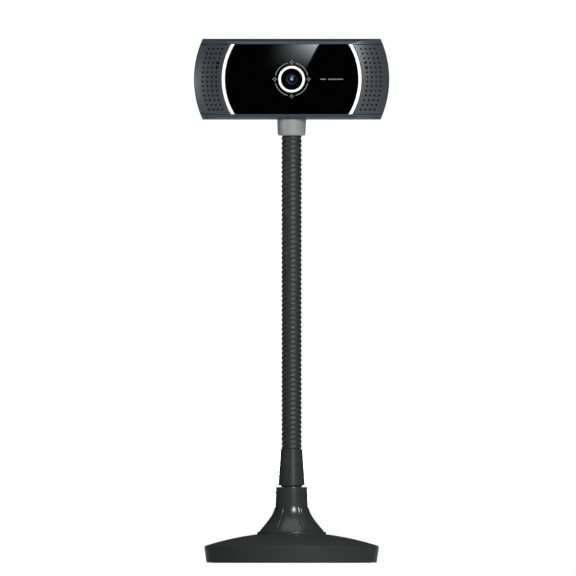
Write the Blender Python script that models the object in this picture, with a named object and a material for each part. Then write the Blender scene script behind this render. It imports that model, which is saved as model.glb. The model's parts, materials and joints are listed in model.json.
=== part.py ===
"""A round-ended webcam on a gooseneck stand with a weighted round base.

Lengths are in millimetres and turned into metres when a mesh is made. The origin is the centre of
the foot's underside, +Z is up and the camera looks along -Y. Every piece is drawn where it sits on
the object, and then hangs from the empty of the body that it moves with.
"""

import math

import bmesh
import bpy
from mathutils import Matrix, Vector

MM = 0.001
GAP = 0.3  # left between two pieces that touch
WELD = 0.001  # points closer than this become one

# Weighted base
RIM_FOOT_RADIUS, RIM_RADIUS = 39.2, 40.2
RIM_FOOT_Z, RIM_TOP_Z = 0.4, 7.7
DOME_RADIUS = 130.0  # the dome is a shallow cap of a ball this big
DOME_TOP_Z = 13.0
BASE_WALL = 2.0
BASE_WALL_RADIUS, BASE_GROOVE_RADIUS, BASE_HOLE_RADIUS = 37.9, 38.4, 8.8
WEIGHT_RADIUS, WEIGHT_BEND_RADIUS, WEIGHT_BORE = 35.5, 26.0, 9.0
PAD_RADIUS, PAD_THICKNESS = 37.0, 1.5
COVER_THICKNESS = 1.6
BASE_SCREWS, BASE_SCREW_CIRCLE, BASE_SCREW_TIP_Z = 3, 12.0, 15.8
BASE_SCREW_RADIUS, BASE_SCREW_HOLE, BASE_SCREW_HEAD, BASE_SCREW_SEAT = 1.45, 1.8, 2.6, 3.1

# Bell-shaped socket that the neck stands in
SOCKET_FOOT_RADIUS, SOCKET_NECK_RADIUS, SOCKET_TOP_RADIUS = 16.5, 7.5, 7.2
SOCKET_STEP_RADIUS, SOCKET_STEP_Z = 14.9, 14.85
SOCKET_NECK_Z, SOCKET_TOP_Z = 27.0, 35.1
SOCKET_BORE_RADIUS, SOCKET_HOLLOW_RADIUS = 4.9, 8.2
SOCKET_WEB_LOW_Z, SOCKET_WEB_HIGH_Z = 20.0, 24.0

# Gooseneck
FERRULE_LOW_Z, FERRULE_RADIUS, FERRULE_TOP_RADIUS = 36.2, 6.07, 4.86
SPIGOT_RADIUS, STUD_RADIUS, STUD_LOW_Z = 4.6, 3.0, 14.2
NECK_WASHER_RADIUS, NECK_WASHER_THICKNESS, NECK_NUT_FLATS, NECK_NUT_HEIGHT = 6.4, 1.2, 10.0, 3.0
NECK_LOW_Z, NECK_HIGH_Z = 52.6, 197.7
NECK_RADIUS, NECK_GROOVE_RADIUS, NECK_PITCH = 4.55, 4.18, 2.205
WIRE_BORE_RADIUS, WIRE_TAIL_RADIUS = 3.3, 3.9
COIL_RADIUS, COIL_BORE_RADIUS = 3.0, 1.9
PIVOTS = 8  # places where the neck bends
LINK_LENGTH = (NECK_HIGH_Z - NECK_LOW_Z) / PIVOTS
END_SLOPE = math.tan(math.radians(13.0))  # link ends are cones, so that two links can tilt 25 degrees
END_GAP = 0.15
TAIL_BORE_RADIUS = WIRE_TAIL_RADIUS + GAP

# Collar and swivel under the head
COLLAR_RADIUS, COLLAR_TOP_RADIUS = 6.15, 6.55
COLLAR_TOP_Z = 205.45
COLLAR_WEB_Z = 203.5
PIVOT_BOLT_RADIUS, PIVOT_BOLT_TOP_Z = 2.6, 212.8
PIVOT_WASHER_RADIUS, PIVOT_WASHER_THICKNESS, PIVOT_NUT_FLATS, PIVOT_NUT_HEIGHT = 5.2, 0.9, 8.0, 2.8

# Camera head: a disc cut off flat above and below
HEAD_RADIUS, HEAD_HALF_HEIGHT = 45.0, 18.7
HEAD_Z = 223.8
UNDERSIDE_Z = HEAD_Z - HEAD_HALF_HEIGHT
POCKET_DEPTH = 0.7  # recess for the collar in the head's underside
SWIVEL_BOSS_RADIUS, SWIVEL_BOSS_TOP_Z = 5.7, UNDERSIDE_Z + 2.5
HEAD_FRONT_Y, HEAD_SPLIT_Y, HEAD_BACK_Y = -10.0, 6.0, 14.0
HEAD_WALL = 1.6
STRIP_INNER_HALF_HEIGHT = 16.45
STRIP_CREASE_Y, STRIP_CREASE_HALF_HEIGHT = -9.2, 17.6
STRIP_BACK_Y = -4.0
BULKHEAD_FRONT_Y, BULKHEAD_BACK_Y = -6.6, -5.2
PANEL_BACK_Y = -6.9
SIDE_LEDGE_RADIUS, SIDE_LEDGE_Y = 40.0, -3.2
FACE_BEND_RADIUS, FACE_BEND_SLOPE, FACE_BEND_CURVE = 32.4, 0.20, 0.017
WINDOW_RADIUS, TRIM_RADIUS = 30.9, 32.4
MIC_X, MIC_HEIGHTS, MIC_HOLE_RADIUS = 34.7, (7.56, 5.40), 0.55
MIC_Z = sum(MIC_HEIGHTS) / 2
MIC_ARC_RADIUS = 35.3  # the microphone holes lie on this circle round the lens
MIC_RADIUS, MIC_THICKNESS, MIC_PORT_RADIUS = 2.9, 2.2, 2.0
CASE_SCREW_X, CASE_SCREW_Z = 26.0, 13.6
CASE_SCREW_RADIUS, CASE_SCREW_HOLE, CASE_SCREW_HEAD = 1.0, 1.3, 2.3
SCREW_WELL_RADIUS, SCREW_WELL_Y = 2.6, 8.5
BOARD_WIDTH, BOARD_HEIGHT = 60.0, 19.6
BOARD_FRONT_Y, BOARD_BACK_Y = 1.8, 3.4
BOARD_SCREW_X = 20.0
GLAND_Z = -8.0

# Lens
LENS_HOLE_RADIUS = 6.6
FOCUS_RING_RADIUS, FOCUS_RING_BORE = 6.27, 5.17
FOCUS_RING_FRONT_Y = -10.8
BARREL_RADIUS, BARREL_THREAD_RADIUS = 4.85, 4.2
BARREL_FRONT_Y, BARREL_SHOULDER_Y, BARREL_BACK_Y = -9.8, -6.4, -2.0
BARREL_MOUTH, BARREL_BORE, BARREL_STOP, BARREL_TAIL_BORE = 4.0, 3.1, 2.0, 3.4
FLANGE_RADIUS, FLANGE_BACK_Y = 7.2, -4.2
HOLDER_RADIUS, HOLDER_FOOT_RADIUS, HOLDER_FOOT_Y = 6.0, 8.0, -0.2
SENSOR_SEAT = 5.6

COLOURS = {  # base colour, roughness, metallic
    "base_plastic": ((0.028, 0.030, 0.029), 0.45, 0.0),
    "satin_black": ((0.020, 0.021, 0.021), 0.35, 0.0),
    "neck_black": ((0.013, 0.013, 0.013), 0.55, 0.3),
    "spring_steel": ((0.42, 0.42, 0.43), 0.30, 1.0),
    "zinc": ((0.62, 0.62, 0.63), 0.35, 1.0),
    "cast_iron": ((0.10, 0.10, 0.10), 0.75, 0.8),
    "rubber": ((0.020, 0.020, 0.020), 0.90, 0.0),
    "collar_grey": ((0.27, 0.28, 0.27), 0.40, 0.0),
    "case_grey": ((0.105, 0.112, 0.120), 0.50, 0.0),
    "window_black": ((0.004, 0.004, 0.004), 0.06, 0.0),
    "trim_white": ((0.86, 0.87, 0.87), 0.40, 0.0),
    "lens_black": ((0.008, 0.008, 0.009), 0.30, 0.0),
    "glass": ((0.60, 0.70, 0.80), 0.02, 0.0),
    "filter_glass": ((0.45, 0.75, 0.72), 0.05, 0.0),
    "board_green": ((0.020, 0.130, 0.055), 0.45, 0.0),
    "chip_black": ((0.015, 0.015, 0.016), 0.40, 0.0),
    "socket_ivory": ((0.75, 0.72, 0.62), 0.50, 0.0),
}

for old in list(bpy.data.objects):
    bpy.data.objects.remove(old)


# Shapes


def dome_z(radius):
    """Height of the base's outer surface at this distance from its axis."""
    edge = math.sqrt(DOME_RADIUS**2 - SOCKET_FOOT_RADIUS**2)
    return DOME_TOP_Z + math.sqrt(DOME_RADIUS**2 - radius**2) - edge


def socket_radius(z):
    """Radius of the socket's flare, from its step up to where it becomes a straight neck."""
    u = (SOCKET_NECK_Z - z) / (SOCKET_NECK_Z - SOCKET_STEP_Z)
    spread = 0.3 * math.sin(math.pi * u / 2) ** 2 + 0.7 * (1 - math.cos(math.pi * u / 2))
    return SOCKET_NECK_RADIUS + (SOCKET_STEP_RADIUS - SOCKET_NECK_RADIUS) * spread


def face_y(radius):
    """Front surface of the head beside its flat middle: it turns back sharply, then curves further."""
    out = radius - FACE_BEND_RADIUS
    return HEAD_FRONT_Y + FACE_BEND_SLOPE * out + FACE_BEND_CURVE * out**2


def steps(first, last, count):
    """Evenly spaced values, with both ends."""
    return [first + (last - first) * i / count for i in range(count + 1)]


def clipped_disc(radius, half_height, arc_steps=8):
    """Outline in X and Z of a disc cut off flat above and below, anticlockwise from the right."""
    turn = math.asin(half_height / radius)
    arc = [(radius * math.cos(a), radius * math.sin(a)) for a in steps(-turn, turn, arc_steps)]
    return arc + [(-x, -z) for x, z in arc]


def ring_sector(inner, outer, half_height, side, arc_steps=8):
    """Outline of the piece of a ring on one side (+1 or -1) between two flats."""
    def arc(radius):
        turn = math.asin(half_height / radius)
        turns = steps(-turn, turn, arc_steps)
        return [(side * radius * math.cos(a), radius * math.sin(a)) for a in turns]

    return arc(outer) + arc(inner)[::-1]


def outwards(bm):
    bmesh.ops.remove_doubles(bm, verts=bm.verts, dist=WELD)
    bmesh.ops.recalc_face_normals(bm, faces=bm.faces)
    return bm


def turned(profile, sides):
    """A closed (radius, height) profile spun about Z. It may touch the axis."""
    bm = bmesh.new()
    points = [bm.verts.new((r, 0.0, z)) for r, z in profile]
    edges = [
        bm.edges.new((a, b))
        for a, b in zip(points, points[1:] + points[:1])
        if a.co.x > 0 or b.co.x > 0
    ]
    bmesh.ops.spin(
        bm, geom=points + edges, cent=(0, 0, 0), axis=(0, 0, 1), angle=2 * math.pi, steps=sides,
        use_merge=True,
    )
    return outwards(bm)


def turned_y(profile, sides, x=0.0, z=0.0):
    """A (radius, y) profile spun about an axis along Y, through x and the head's height plus z."""
    bm = turned(profile, sides)
    bmesh.ops.transform(bm, matrix=Matrix.Rotation(-math.pi / 2, 4, "X"), verts=bm.verts)
    bmesh.ops.translate(bm, vec=(x, 0.0, HEAD_Z + z), verts=bm.verts)
    return bm


def rod(radius, low, high):
    """Profile of a plain rod."""
    return [(0, low), (radius, low), (radius, high), (0, high)]


def tube(inner, outer, low, high):
    """Profile of a plain tube or washer."""
    return [(inner, low), (outer, low), (outer, high), (inner, high)]


def headed(radius, head_radius, tip, seat, top):
    """Profile of a screw or bolt, from its tip to where its head sits and the top of its head."""
    return [(0, tip), (radius, tip), (radius, seat), (head_radius, seat), (head_radius, top), (0, top)]


def skin(rings):
    """A closed body through outlines of equally many points, capped at its first and last."""
    bm = bmesh.new()
    rows = [[bm.verts.new(point) for point in ring] for ring in rings]
    for low, high in zip(rows, rows[1:]):
        for i in range(len(low)):
            bm.faces.new((low[i - 1], low[i], high[i], high[i - 1]))
    bm.faces.new(rows[0])
    bm.faces.new(rows[-1])
    return outwards(bm)


def head_rings(sections):
    """Clipped discs round the head's axis, from (y, radius, half height)."""
    return [[(x, y, HEAD_Z + z) for x, z in clipped_disc(r, h)] for y, r, h in sections]


def prism(outline, low_y, high_y):
    """An outline in X and Z, measured from the head's centre, extruded along Y."""
    return skin([[(x, y, HEAD_Z + z) for x, z in outline] for y in (low_y, high_y)])


def block(size, centre):
    """A box, centred in X, Y and Z."""
    bm = bmesh.new()
    bmesh.ops.create_cube(bm, size=1.0)
    bmesh.ops.scale(bm, vec=size, verts=bm.verts)
    bmesh.ops.translate(bm, vec=centre, verts=bm.verts)
    return bm


# Objects


def material(name):
    """The named material, made once."""
    if name in bpy.data.materials:
        return bpy.data.materials[name]
    colour, roughness, metallic = COLOURS[name]
    made = bpy.data.materials.new(name)
    made.use_nodes = True
    made.diffuse_color = (*colour, 1.0)
    surface = made.node_tree.nodes["Principled BSDF"]
    surface.inputs["Base Color"].default_value = (*colour, 1.0)
    surface.inputs["Roughness"].default_value = roughness
    surface.inputs["Metallic"].default_value = metallic
    return made


def pivot(name, parent, place):
    """An empty on a joint's axis. Turning it moves everything that hangs from it."""
    empty = bpy.data.objects.new(name, None)
    empty.empty_display_size = 10 * MM
    bpy.context.scene.collection.objects.link(empty)
    empty["place"] = place
    empty.location = Vector(place) * MM
    if parent:
        empty.parent = parent
        empty.location -= Vector(parent["place"]) * MM
    return empty


def piece(name, bm, body, finish):
    """A node: its mesh keeps its place on the object and its origin is on the body's axis."""
    bmesh.ops.translate(bm, vec=-Vector(body["place"]), verts=bm.verts)
    bmesh.ops.scale(bm, vec=(MM, MM, MM), verts=bm.verts)
    mesh = bpy.data.meshes.new(name)
    bm.to_mesh(mesh)
    bm.free()
    mesh.shade_smooth()
    mesh.set_sharp_from_angle(angle=math.radians(35))
    mesh.materials.append(material(finish))
    made = bpy.data.objects.new(name, mesh)
    made.parent = body
    bpy.context.scene.collection.objects.link(made)
    return made


def change(target, operation, name, bm):
    """Cuts the shape out of the target, or adds it."""
    guide = piece(name, bm, target.parent, "chip_black")
    guide.hide_render = True
    guide.display_type = "WIRE"
    boolean = target.modifiers.new(name, "BOOLEAN")
    boolean.operation = operation
    boolean.object = guide
    return guide


def cut(target, name, bm):
    return change(target, "DIFFERENCE", "cut_" + name, bm)


def add(target, name, bm):
    return change(target, "UNION", "add_" + name, bm)


def hex_nut(name, flats, bore, low, high, body):
    """A nut on the Z axis, as wide across its flats as given."""
    nut = piece(name, turned(rod(flats / math.sqrt(3), low, high), 6), body, "zinc")
    cut(nut, name + "_bore", turned(rod(bore, low - 1, high + 1), 20))


def base_screw_places():
    """X and Y of the screws that hold the base together."""
    turns = [math.radians(90 + 360 * i / BASE_SCREWS) for i in range(BASE_SCREWS)]
    return [(BASE_SCREW_CIRCLE * math.cos(a), BASE_SCREW_CIRCLE * math.sin(a)) for a in turns]


def upright(profile, sides, x, y):
    """A turned shape standing at x and y."""
    bm = turned(profile, sides)
    bmesh.ops.translate(bm, vec=(x, y, 0.0), verts=bm.verts)
    return bm


# Sub-parts


def make_base(body):
    """Shell, weight, cover, rubber foot, and the screws that clamp shell and weight to the socket."""
    cover_low = PAD_THICKNESS + GAP
    cover_high = cover_low + COVER_THICKNESS
    dome = [(r, dome_z(r)) for r in steps(RIM_RADIUS - 0.3, SOCKET_FOOT_RADIUS, 4)]
    ceiling = [(r, dome_z(r) - BASE_WALL) for r in (SOCKET_FOOT_RADIUS, 27.0, BASE_WALL_RADIUS)]
    shell = piece("base_shell", turned(
        [(RIM_FOOT_RADIUS, RIM_FOOT_Z), (RIM_RADIUS, RIM_TOP_Z - 0.4)]
        + dome
        + [(BASE_HOLE_RADIUS, DOME_TOP_Z), (BASE_HOLE_RADIUS, DOME_TOP_Z - BASE_WALL)]
        + ceiling
        + [(BASE_WALL_RADIUS, cover_high - 0.1), (BASE_GROOVE_RADIUS, cover_high - 0.4)]
        + [(BASE_GROOVE_RADIUS, cover_low + 0.4), (BASE_WALL_RADIUS, cover_low + 0.1)]
        + [(BASE_WALL_RADIUS, RIM_FOOT_Z)], 40,
    ), body, "base_plastic")
    weight_low = cover_high + GAP
    weight_top = DOME_TOP_Z - BASE_WALL - 2 * GAP
    weight = piece("base_weight", turned([
        (WEIGHT_BORE, weight_low), (WEIGHT_RADIUS, weight_low),
        (WEIGHT_RADIUS, dome_z(WEIGHT_RADIUS) - BASE_WALL - GAP),
        (WEIGHT_BEND_RADIUS, dome_z(WEIGHT_BEND_RADIUS) - BASE_WALL - 2 * GAP),
        (SOCKET_FOOT_RADIUS, weight_top), (WEIGHT_BORE, weight_top),
    ], 40), body, "cast_iron")
    cover_radius = BASE_WALL_RADIUS - GAP
    piece("base_cover", turned([
        (0, cover_low), (cover_radius, cover_low), (cover_radius + 0.5, cover_low + 0.7),
        (cover_radius + 0.5, cover_high - 0.7), (cover_radius, cover_high), (0, cover_high),
    ], 40), body, "base_plastic")
    piece("foot_pad", turned([
        (0, 0), (PAD_RADIUS - 0.4, 0), (PAD_RADIUS, 0.4), (PAD_RADIUS, PAD_THICKNESS), (0, PAD_THICKNESS),
    ], 40), body, "rubber")
    head_low, head_high = weight_low + GAP, weight_low + 2.1
    for i, (x, y) in enumerate(base_screw_places(), 1):
        seat = rod(BASE_SCREW_SEAT, weight_low - 1, head_high + GAP)
        cut(weight, f"weight_seat_{i}", upright(seat, 16, x, y))
        cut(weight, f"weight_hole_{i}", upright(rod(BASE_SCREW_HOLE, weight_low, DOME_TOP_Z), 12, x, y))
        cut(shell, f"shell_hole_{i}", upright(rod(BASE_SCREW_HOLE, weight_low, DOME_TOP_Z + 1), 12, x, y))
        profile = headed(BASE_SCREW_RADIUS, BASE_SCREW_HEAD, BASE_SCREW_TIP_Z, head_high, head_low)
        piece(f"base_screw_{i}", upright(profile, 12, x, y), body, "zinc")


def make_socket(body):
    """The bell that carries the neck: a bore above a web, and a hollow for the nut below it."""
    foot_z = DOME_TOP_Z + GAP
    flare = [(socket_radius(z), z) for z in steps(SOCKET_STEP_Z, SOCKET_NECK_Z, 5)]
    socket = piece("neck_socket", turned(
        [(SOCKET_FOOT_RADIUS, foot_z), (SOCKET_FOOT_RADIUS - 0.4, foot_z + 0.9)]
        + flare
        + [(SOCKET_TOP_RADIUS, SOCKET_TOP_Z - 0.5), (SOCKET_TOP_RADIUS - 0.5, SOCKET_TOP_Z)]
        + [(SOCKET_BORE_RADIUS, SOCKET_TOP_Z), (SOCKET_BORE_RADIUS, SOCKET_WEB_HIGH_Z)]
        + [(STUD_RADIUS + GAP, SOCKET_WEB_HIGH_Z), (STUD_RADIUS + GAP, SOCKET_WEB_LOW_Z)]
        + [(SOCKET_HOLLOW_RADIUS, SOCKET_WEB_LOW_Z), (SOCKET_HOLLOW_RADIUS, foot_z)], 28,
    ), body, "satin_black")
    for i, (x, y) in enumerate(base_screw_places(), 1):
        cut(socket, f"socket_hole_{i}", upright(
            rod(BASE_SCREW_HOLE, foot_z - 1, BASE_SCREW_TIP_Z + GAP), 12, x, y,
        ))


def make_ferrule(body):
    """Tapered ferrule with its spigot and stud, and the friction washer and nut that hold it."""
    shoulder = SOCKET_WEB_HIGH_Z + GAP
    bore_floor = FERRULE_LOW_Z + 5.8
    piece("neck_ferrule", turned([
        (0, STUD_LOW_Z), (STUD_RADIUS - 0.4, STUD_LOW_Z), (STUD_RADIUS, STUD_LOW_Z + 0.4),
        (STUD_RADIUS, shoulder), (SPIGOT_RADIUS, shoulder), (SPIGOT_RADIUS, FERRULE_LOW_Z),
        (FERRULE_RADIUS - 0.3, FERRULE_LOW_Z), (FERRULE_RADIUS, FERRULE_LOW_Z + 0.4),
        (FERRULE_TOP_RADIUS + 0.05, NECK_LOW_Z - 0.3), (FERRULE_TOP_RADIUS - 0.2, NECK_LOW_Z),
        (TAIL_BORE_RADIUS, NECK_LOW_Z), (TAIL_BORE_RADIUS, bore_floor), (0, bore_floor),
    ], 20), body, "satin_black")
    washer_high = SOCKET_WEB_LOW_Z - GAP
    washer_low = washer_high - NECK_WASHER_THICKNESS
    bore = STUD_RADIUS + GAP
    washer = tube(bore, NECK_WASHER_RADIUS, washer_low, washer_high)
    piece("neck_washer", turned(washer, 24), body, "spring_steel")
    nut_high = washer_low - GAP
    hex_nut("neck_nut", NECK_NUT_FLATS, bore, nut_high - NECK_NUT_HEIGHT, nut_high, body)
    return bore_floor + GAP


def link_end(pivot_z, side, radius):
    """Height of a link's cone-shaped end, above (+1) or below (-1) the pivot."""
    return pivot_z + side * (END_GAP + radius * END_SLOPE)


def ribs(low, high):
    """The winding's outer outline: a crest in each turn and a groove between turns."""
    turns = round((high - low) / NECK_PITCH)
    pitch = (high - low) / turns
    outline = []
    for i in range(turns):
        outline.append((NECK_RADIUS, low + pitch * (i + 0.5)))
        if i < turns - 1:
            outline.append((NECK_GROOVE_RADIUS, low + pitch * (i + 1)))
    return [(NECK_GROOVE_RADIUS, low)] + outline + [(NECK_GROOVE_RADIUS, high)]


def make_neck_link(number, body, low, high, tail_low=None, tail_high=None):
    """One stretch of the outer winding with its inner coil. low and high are pivots, or None at an end."""
    def bottom(radius):
        return link_end(low, +1, radius) if low else tail_low

    def top(radius):
        return link_end(high, -1, radius) if high else tail_high

    shoulder_low = bottom(NECK_GROOVE_RADIUS) if low else NECK_LOW_Z + GAP
    shoulder_high = top(NECK_GROOVE_RADIUS) if high else NECK_HIGH_Z
    outline = ribs(shoulder_low, shoulder_high)
    if not low:
        outline = [(WIRE_TAIL_RADIUS, tail_low), (WIRE_TAIL_RADIUS, shoulder_low)] + outline
    if not high:
        outline += [(WIRE_TAIL_RADIUS, shoulder_high), (WIRE_TAIL_RADIUS, tail_high)]
    bore = [(WIRE_BORE_RADIUS, top(WIRE_BORE_RADIUS)), (WIRE_BORE_RADIUS, bottom(WIRE_BORE_RADIUS))]
    piece(f"neck_wire_{number}", turned(outline + bore, 12), body, "neck_black")
    piece(f"neck_coil_{number}", turned([
        (COIL_RADIUS, bottom(COIL_RADIUS)), (COIL_RADIUS, top(COIL_RADIUS)),
        (COIL_BORE_RADIUS, top(COIL_BORE_RADIUS)), (COIL_BORE_RADIUS, bottom(COIL_BORE_RADIUS)),
    ], 12), body, "spring_steel")


def make_collar(body):
    """Collar round the neck's top end, with the bolt, washer and nut that the head swivels on."""
    low = NECK_HIGH_Z + GAP
    hole = PIVOT_BOLT_RADIUS + GAP
    piece("neck_collar", turned([
        (TAIL_BORE_RADIUS, low), (COLLAR_RADIUS - 0.7, low), (COLLAR_RADIUS - 0.2, low + 0.2),
        (COLLAR_RADIUS, low + 0.7), (COLLAR_TOP_RADIUS, COLLAR_TOP_Z), (hole, COLLAR_TOP_Z),
        (hole, COLLAR_WEB_Z), (TAIL_BORE_RADIUS, COLLAR_WEB_Z),
    ], 24), body, "collar_grey")
    bolt_head_low, bolt_head_high = COLLAR_WEB_Z - 2.6, COLLAR_WEB_Z - GAP
    piece("pivot_bolt", turned(
        headed(PIVOT_BOLT_RADIUS, WIRE_TAIL_RADIUS, PIVOT_BOLT_TOP_Z, bolt_head_high, bolt_head_low), 20,
    ), body, "zinc")
    washer_low = SWIVEL_BOSS_TOP_Z + GAP
    washer_high = washer_low + PIVOT_WASHER_THICKNESS
    washer = tube(hole, PIVOT_WASHER_RADIUS, washer_low, washer_high)
    piece("pivot_washer", turned(washer, 24), body, "spring_steel")
    nut_low = washer_high + GAP
    hex_nut("pivot_nut", PIVOT_NUT_FLATS, hole, nut_low, nut_low + PIVOT_NUT_HEIGHT, body)
    return bolt_head_low - GAP


def collar_pocket():
    """Shallow round recess in the head's underside that the collar's top turns in."""
    return turned(rod(COLLAR_TOP_RADIUS + GAP, UNDERSIDE_Z - 2, UNDERSIDE_Z + POCKET_DEPTH), 32)


def case_screw_places():
    """X and Z of the case screws, from the head's centre."""
    return [(x, z) for x in (-CASE_SCREW_X, CASE_SCREW_X) for z in (-CASE_SCREW_Z, CASE_SCREW_Z)]


def make_front_shell(body):
    """Front half of the case: top and bottom strips, side walls, and a bulkhead behind the window."""
    inner = STRIP_INNER_HALF_HEIGHT - 0.15
    hollow = HEAD_HALF_HEIGHT - HEAD_WALL
    wall = HEAD_RADIUS - HEAD_WALL
    shell = piece("head_front_shell", skin(head_rings([
        (BULKHEAD_BACK_Y, SIDE_LEDGE_RADIUS - 1.5, hollow - 0.3),
        (SIDE_LEDGE_Y + 1.4, SIDE_LEDGE_RADIUS - 1.5, hollow - 0.3),
        (SIDE_LEDGE_Y + 1.4, wall, hollow), (HEAD_SPLIT_Y, wall, hollow),
        (HEAD_SPLIT_Y, HEAD_RADIUS, HEAD_HALF_HEIGHT), (STRIP_BACK_Y, HEAD_RADIUS, HEAD_HALF_HEIGHT),
        (STRIP_CREASE_Y, HEAD_RADIUS, STRIP_CREASE_HALF_HEIGHT),
        (HEAD_FRONT_Y, HEAD_RADIUS, STRIP_INNER_HALF_HEIGHT),
    ])), body, "case_grey")
    front = HEAD_FRONT_Y - 1.0
    recess = cut(shell, "face_recess", block(
        (2 * HEAD_RADIUS + 2, SIDE_LEDGE_Y - front, 2 * inner), (0, (SIDE_LEDGE_Y + front) / 2, HEAD_Z),
    ))
    cut(recess, "bulkhead", turned_y(rod(SIDE_LEDGE_RADIUS, BULKHEAD_FRONT_Y, SIDE_LEDGE_Y + 1), 48))
    bend = [(r, face_y(r)) for r in steps(HEAD_RADIUS + 1.5, FACE_BEND_RADIUS, 5)]
    cut(shell, "end_bend", turned_y(bend + [(FACE_BEND_RADIUS - 1, front), (HEAD_RADIUS + 1.5, front)], 64))
    for side, name in ((-1, "left"), (1, "right")):
        cut(shell, f"mic_port_{name}", turned_y(
            rod(MIC_PORT_RADIUS, BULKHEAD_FRONT_Y - 1, BULKHEAD_BACK_Y + 1), 12, side * MIC_X, MIC_Z,
        ))
        post_x = side * BOARD_SCREW_X
        add(shell, f"board_post_{name}", turned_y(
            tube(1.3, 2.6, BULKHEAD_BACK_Y - 0.5, BOARD_FRONT_Y - GAP), 12, post_x,
        ))
    cut(shell, "lens_port", turned_y(rod(LENS_HOLE_RADIUS, front, BULKHEAD_BACK_Y + 1), 32))
    for i, (x, z) in enumerate(case_screw_places(), 1):
        add(shell, f"case_post_{i}", turned_y(
            tube(CASE_SCREW_HOLE, 2.5, BULKHEAD_BACK_Y - 0.6, HEAD_SPLIT_Y - 0.2), 12, x, z,
        ))
    low = UNDERSIDE_Z + HEAD_WALL / 2
    add(shell, "swivel_boss", turned(rod(SWIVEL_BOSS_RADIUS, low, SWIVEL_BOSS_TOP_Z), 24))
    cut(shell, "front_pocket", collar_pocket())
    swivel_hole = rod(PIVOT_BOLT_RADIUS + GAP, UNDERSIDE_Z - 3, SWIVEL_BOSS_TOP_Z + 1)
    cut(shell, "swivel_hole", turned(swivel_hole, 24))


def make_rear_shell(body):
    """Rear half of the case, rounded at its edge, with wells for the four screws."""
    rim = HEAD_SPLIT_Y + GAP
    shell = piece("head_rear_shell", skin(head_rings([
        (HEAD_BACK_Y - HEAD_WALL, 40.0, 15.0), (9.6, HEAD_RADIUS - HEAD_WALL, HEAD_HALF_HEIGHT - HEAD_WALL),
        (rim, HEAD_RADIUS - HEAD_WALL, HEAD_HALF_HEIGHT - HEAD_WALL), (rim, HEAD_RADIUS, HEAD_HALF_HEIGHT),
        (10.2, HEAD_RADIUS, HEAD_HALF_HEIGHT), (12.0, 44.3, 18.1), (13.3, 42.9, 16.9),
        (HEAD_BACK_Y, 40.8, 15.2),
    ])), body, "case_grey")
    post = rod(3.8, rim + 0.2, HEAD_BACK_Y - 0.9)
    well = rod(SCREW_WELL_RADIUS, SCREW_WELL_Y, HEAD_BACK_Y + 1)
    hole = rod(CASE_SCREW_HOLE, rim - 1, SCREW_WELL_Y + 0.5)
    for i, (x, z) in enumerate(case_screw_places(), 1):
        add(shell, f"rear_post_{i}", turned_y(post, 16, x, z))
        cut(shell, f"screw_well_{i}", turned_y(well, 16, x, z))
        cut(shell, f"screw_hole_{i}", turned_y(hole, 12, x, z))
    cut(shell, "gland_hole", turned_y(rod(3.2, 11.0, HEAD_BACK_Y + 1), 20, 0.0, GLAND_Z))
    cut(shell, "rear_pocket", collar_pocket())


def make_face(body):
    """Black window, white trims beside it and the two microphone grilles."""
    half = STRIP_INNER_HALF_HEIGHT - GAP - 0.15
    back = BULKHEAD_FRONT_Y - GAP
    window = piece("front_window", prism(
        clipped_disc(WINDOW_RADIUS - 0.15, half, 12), HEAD_FRONT_Y, back,
    ), body, "window_black")
    cut(window, "window_hole", turned_y(rod(LENS_HOLE_RADIUS, HEAD_FRONT_Y - 1, back + 1), 32))
    grille_profile = (
        [(r, face_y(r)) for r in steps(TRIM_RADIUS + 0.15, HEAD_RADIUS, 6)]
        + [(HEAD_RADIUS, SIDE_LEDGE_Y - GAP), (HEAD_RADIUS - HEAD_WALL, SIDE_LEDGE_Y - GAP)]
        + [(HEAD_RADIUS - HEAD_WALL, -4.4), (SIDE_LEDGE_RADIUS + GAP, PANEL_BACK_Y)]
        + [(TRIM_RADIUS + 0.15, PANEL_BACK_Y)]
    )
    for side, name in ((-1, "left"), (1, "right")):
        piece(f"trim_{name}", prism(
            ring_sector(WINDOW_RADIUS + 0.15, TRIM_RADIUS - 0.15, half, side, 12), HEAD_FRONT_Y, back,
        ), body, "trim_white")
        grille = piece(f"grille_{name}", grille_panel(grille_profile, half, side), body, "case_grey")
        for row, z in enumerate(MIC_HEIGHTS, 1):
            cut(grille, f"mic_hole_{name}_{row}", turned_y(
                rod(MIC_HOLE_RADIUS, HEAD_FRONT_Y - 1, PANEL_BACK_Y + 1), 8,
                side * math.sqrt(MIC_ARC_RADIUS**2 - z**2), z,
            ))


def grille_panel(profile, half_height, side):
    """The profile swept round the head's axis, each point as far as the two flats allow."""
    rings = []
    for u in steps(-1.0, 1.0, 10):
        turns = [math.asin(u * half_height / r) for r, _ in profile]
        rings.append([
            (side * r * math.cos(a), y, HEAD_Z + r * math.sin(a)) for (r, y), a in zip(profile, turns)
        ])
    return skin(rings)


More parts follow.
